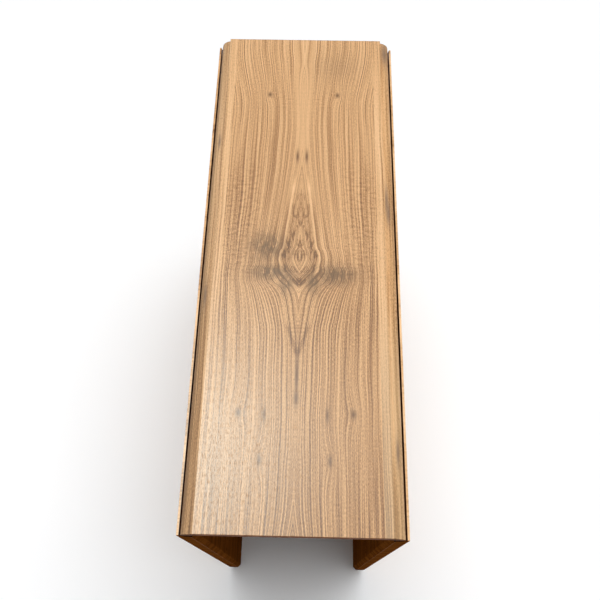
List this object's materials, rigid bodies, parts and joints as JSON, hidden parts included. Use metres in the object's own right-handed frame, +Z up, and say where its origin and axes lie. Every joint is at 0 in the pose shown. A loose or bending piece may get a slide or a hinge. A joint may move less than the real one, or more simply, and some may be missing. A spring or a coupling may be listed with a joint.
{
  "type": "drop-leaf console table",
  "caption": "Narrow wooden console table with a long flat top and deep leaves that hang on rule joints nearly to the floor and lift to a wide table.",
  "frame": {"origin": "on the floor under the middle of the top", "axes": "+Z up, +Y along the length of the top, +X across it towards the right leaf; the pictured near end is -Y"},
  "size_m": [0.29, 0.79, 0.74],
  "materials": {
    "top_board": "book-matched walnut veneer, satin",
    "lipping": "solid walnut, satin",
    "leaf_board": "walnut, satin",
    "base_wood": "solid walnut, satin",
    "hinge_metal": "dull brass",
    "support_metal": "black powder coat",
    "bolt_metal": "turned steel",
    "glide": "nylon",
    "bumper": "rubber"
  },
  "bodies": {
    "frame": {"top_lipping_left": "lipping", "hinge_top_plates_left": "hinge_metal", "hinge_pins_left": "hinge_metal", "side_rail_left": "base_wood", "top_lipping_right": "lipping", "hinge_top_plates_right": "hinge_metal", "hinge_pins_right": "hinge_metal", "side_rail_right": "base_wood", "top_panel": "top_board", "leg_front_left": "base_wood", "support_bracket_front_left": "support_metal", "leg_front_right": "base_wood", "support_bracket_front_right": "support_metal", "leg_back_left": "base_wood", "support_bracket_back_left": "support_metal", "leg_back_right": "base_wood", "support_bracket_back_right": "support_metal", "end_rail_front": "base_wood", "end_stretcher_front": "base_wood", "end_rail_back": "base_wood", "end_stretcher_back": "base_wood", "long_stretcher": "base_wood", "foot_glides": "glide", "leaf_bumpers": "bumper", "top_clips": "hinge_metal"},
    "left_leaf": {"leaf_stile_left": "leaf_board", "leaf_panel_left": "leaf_board", "leaf_edge_lipping_left": "lipping", "hinge_leaf_plates_left": "hinge_metal", "support_arm_front_left": "support_metal", "support_arm_back_left": "support_metal"},
    "right_leaf": {"leaf_stile_right": "leaf_board", "leaf_panel_right": "leaf_board", "leaf_edge_lipping_right": "lipping", "hinge_leaf_plates_right": "hinge_metal", "support_arm_front_right": "support_metal", "support_arm_back_right": "support_metal"},
    "front_left_bolt": {"slide_bolt_front_left": "bolt_metal"},
    "front_right_bolt": {"slide_bolt_front_right": "bolt_metal"},
    "back_left_bolt": {"slide_bolt_back_left": "bolt_metal"},
    "back_right_bolt": {"slide_bolt_back_right": "bolt_metal"}
  },
  "joints": [
    {"name": "left_leaf_hinge", "type": "hinge", "parent": "frame", "child": "left_leaf", "pos_m": [-0.125, 0, 0.72], "axis": [0, 1, 0], "range_deg": [0, 90]},
    {"name": "right_leaf_hinge", "type": "hinge", "parent": "frame", "child": "right_leaf", "pos_m": [0.125, 0, 0.72], "axis": [0, -1, 0], "range_deg": [0, 90]},
    {"name": "front_left_bolt_slide", "type": "slide", "parent": "frame", "child": "front_left_bolt", "axis": [0, -1, 0], "range_m": [0, 0.01]},
    {"name": "front_right_bolt_slide", "type": "slide", "parent": "frame", "child": "front_right_bolt", "axis": [0, -1, 0], "range_m": [0, 0.01]},
    {"name": "back_left_bolt_slide", "type": "slide", "parent": "frame", "child": "back_left_bolt", "axis": [0, 1, 0], "range_m": [0, 0.01]},
    {"name": "back_right_bolt_slide", "type": "slide", "parent": "frame", "child": "back_right_bolt", "axis": [0, 1, 0], "range_m": [0, 0.01]}
  ]
}
